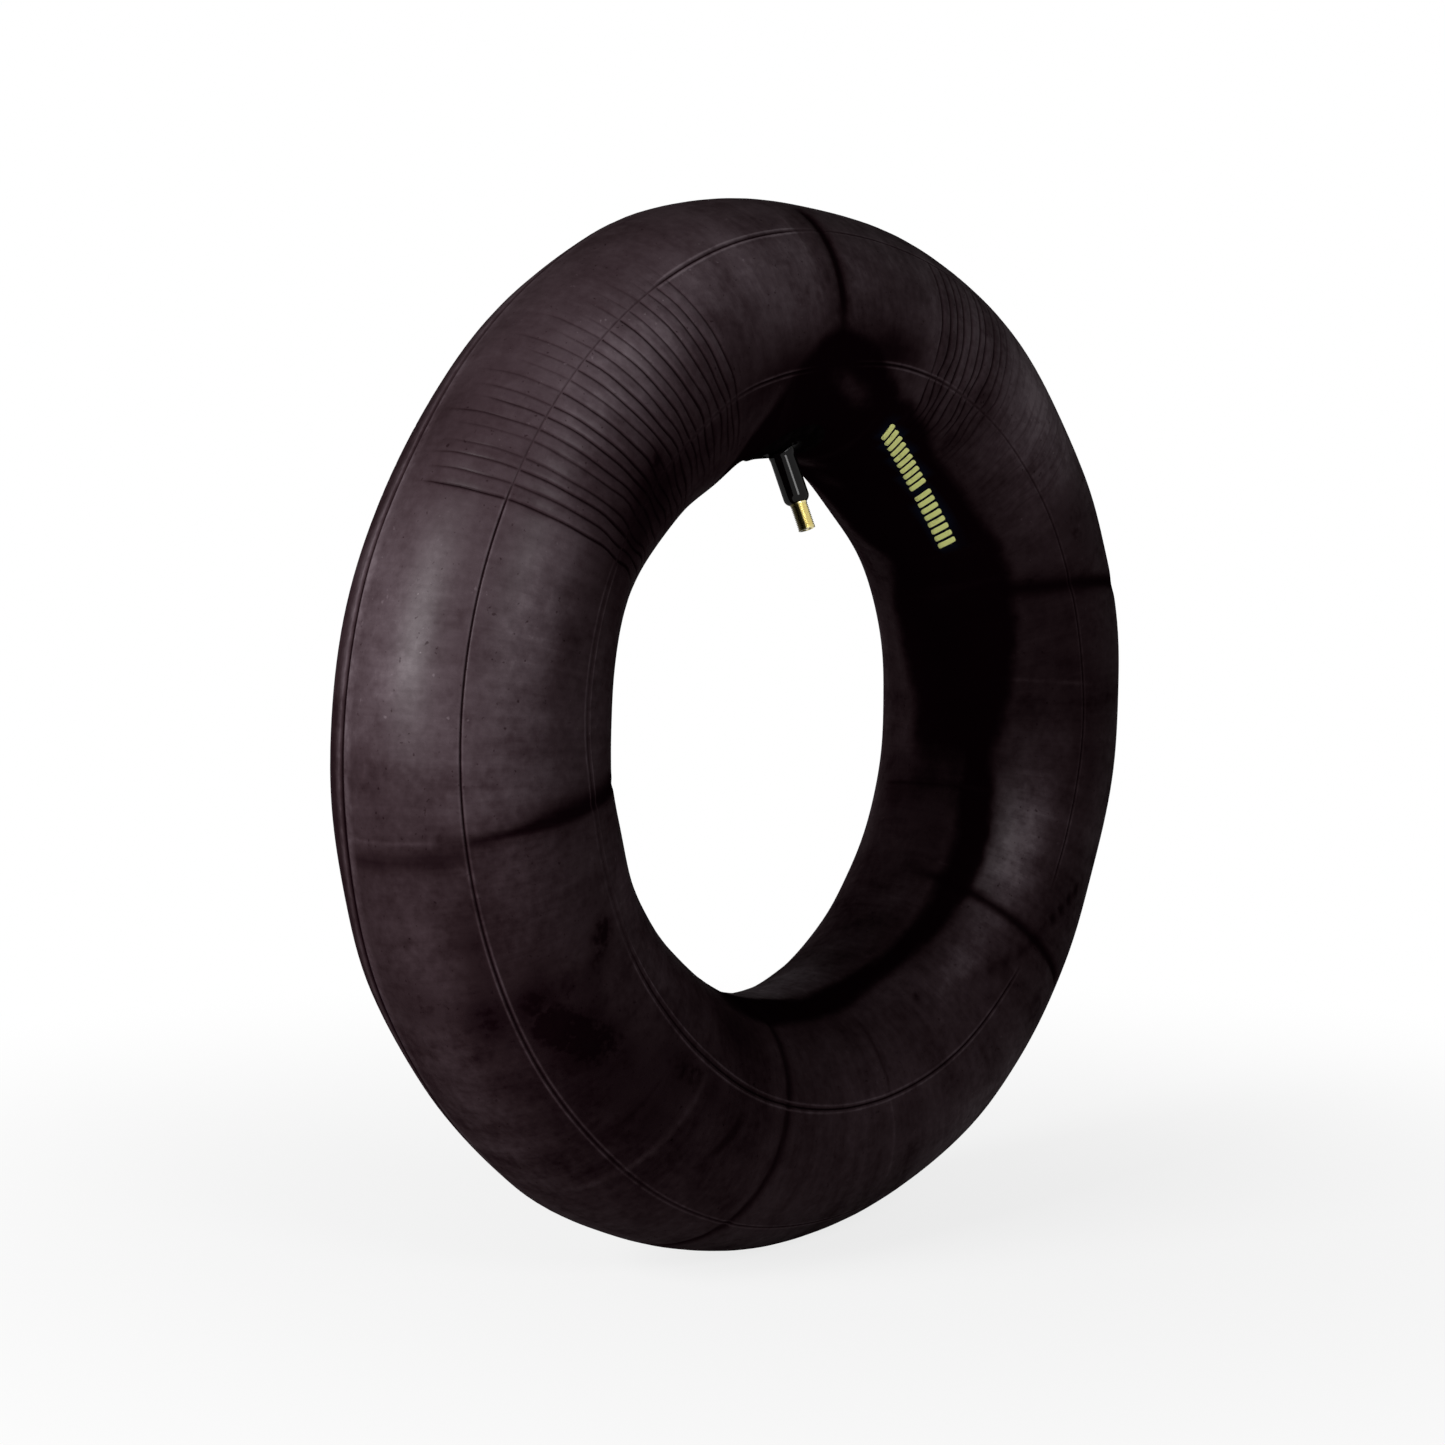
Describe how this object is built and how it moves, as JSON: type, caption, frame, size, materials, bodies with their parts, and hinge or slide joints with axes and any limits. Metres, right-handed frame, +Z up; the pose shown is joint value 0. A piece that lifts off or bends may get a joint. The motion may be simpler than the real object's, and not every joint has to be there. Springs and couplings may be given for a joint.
{
  "type": "inner tube",
  "caption": "Inflated black butyl inner tube: a plump hollow ring with fine moulding lines, ribbed vent patches and a rubber-covered straight valve with a brass end and a sprung core.",
  "frame": {"origin": "centre of the wheel, midway between the two faces of the ring", "axes": "Y is the wheel axis, -Y is the front face that the valve leans to, +Z is up, with the valve near the top of the ring"},
  "size_m": [0.47, 0.114, 0.47],
  "materials": {
    "tube_rubber": "satin",
    "valve_rubber": "satin",
    "brass": "satin",
    "core_brass": "satin",
    "steel": "satin",
    "gasket_rubber": "matt",
    "seal_rubber": "matt"
  },
  "bodies": {
    "tube": {"tube_wall": "tube_rubber", "valve_rubber": "valve_rubber", "valve_stem": "brass", "core_plug": "core_brass", "core_barrel": "core_brass", "core_gasket": "gasket_rubber", "core_spring": "steel"},
    "plunger": {"core_pin": "steel", "core_cup": "core_brass", "core_seal": "seal_rubber"}
  },
  "joints": [
    {"name": "pin_press", "type": "slide", "parent": "tube", "child": "plunger", "axis": [-0.0732, 0.3584, 0.9307], "range_m": [0, 0.0013], "stiffness_N_per_m": 400, "springref_m": -0.003, "deforming": ["core_spring"]}
  ]
}
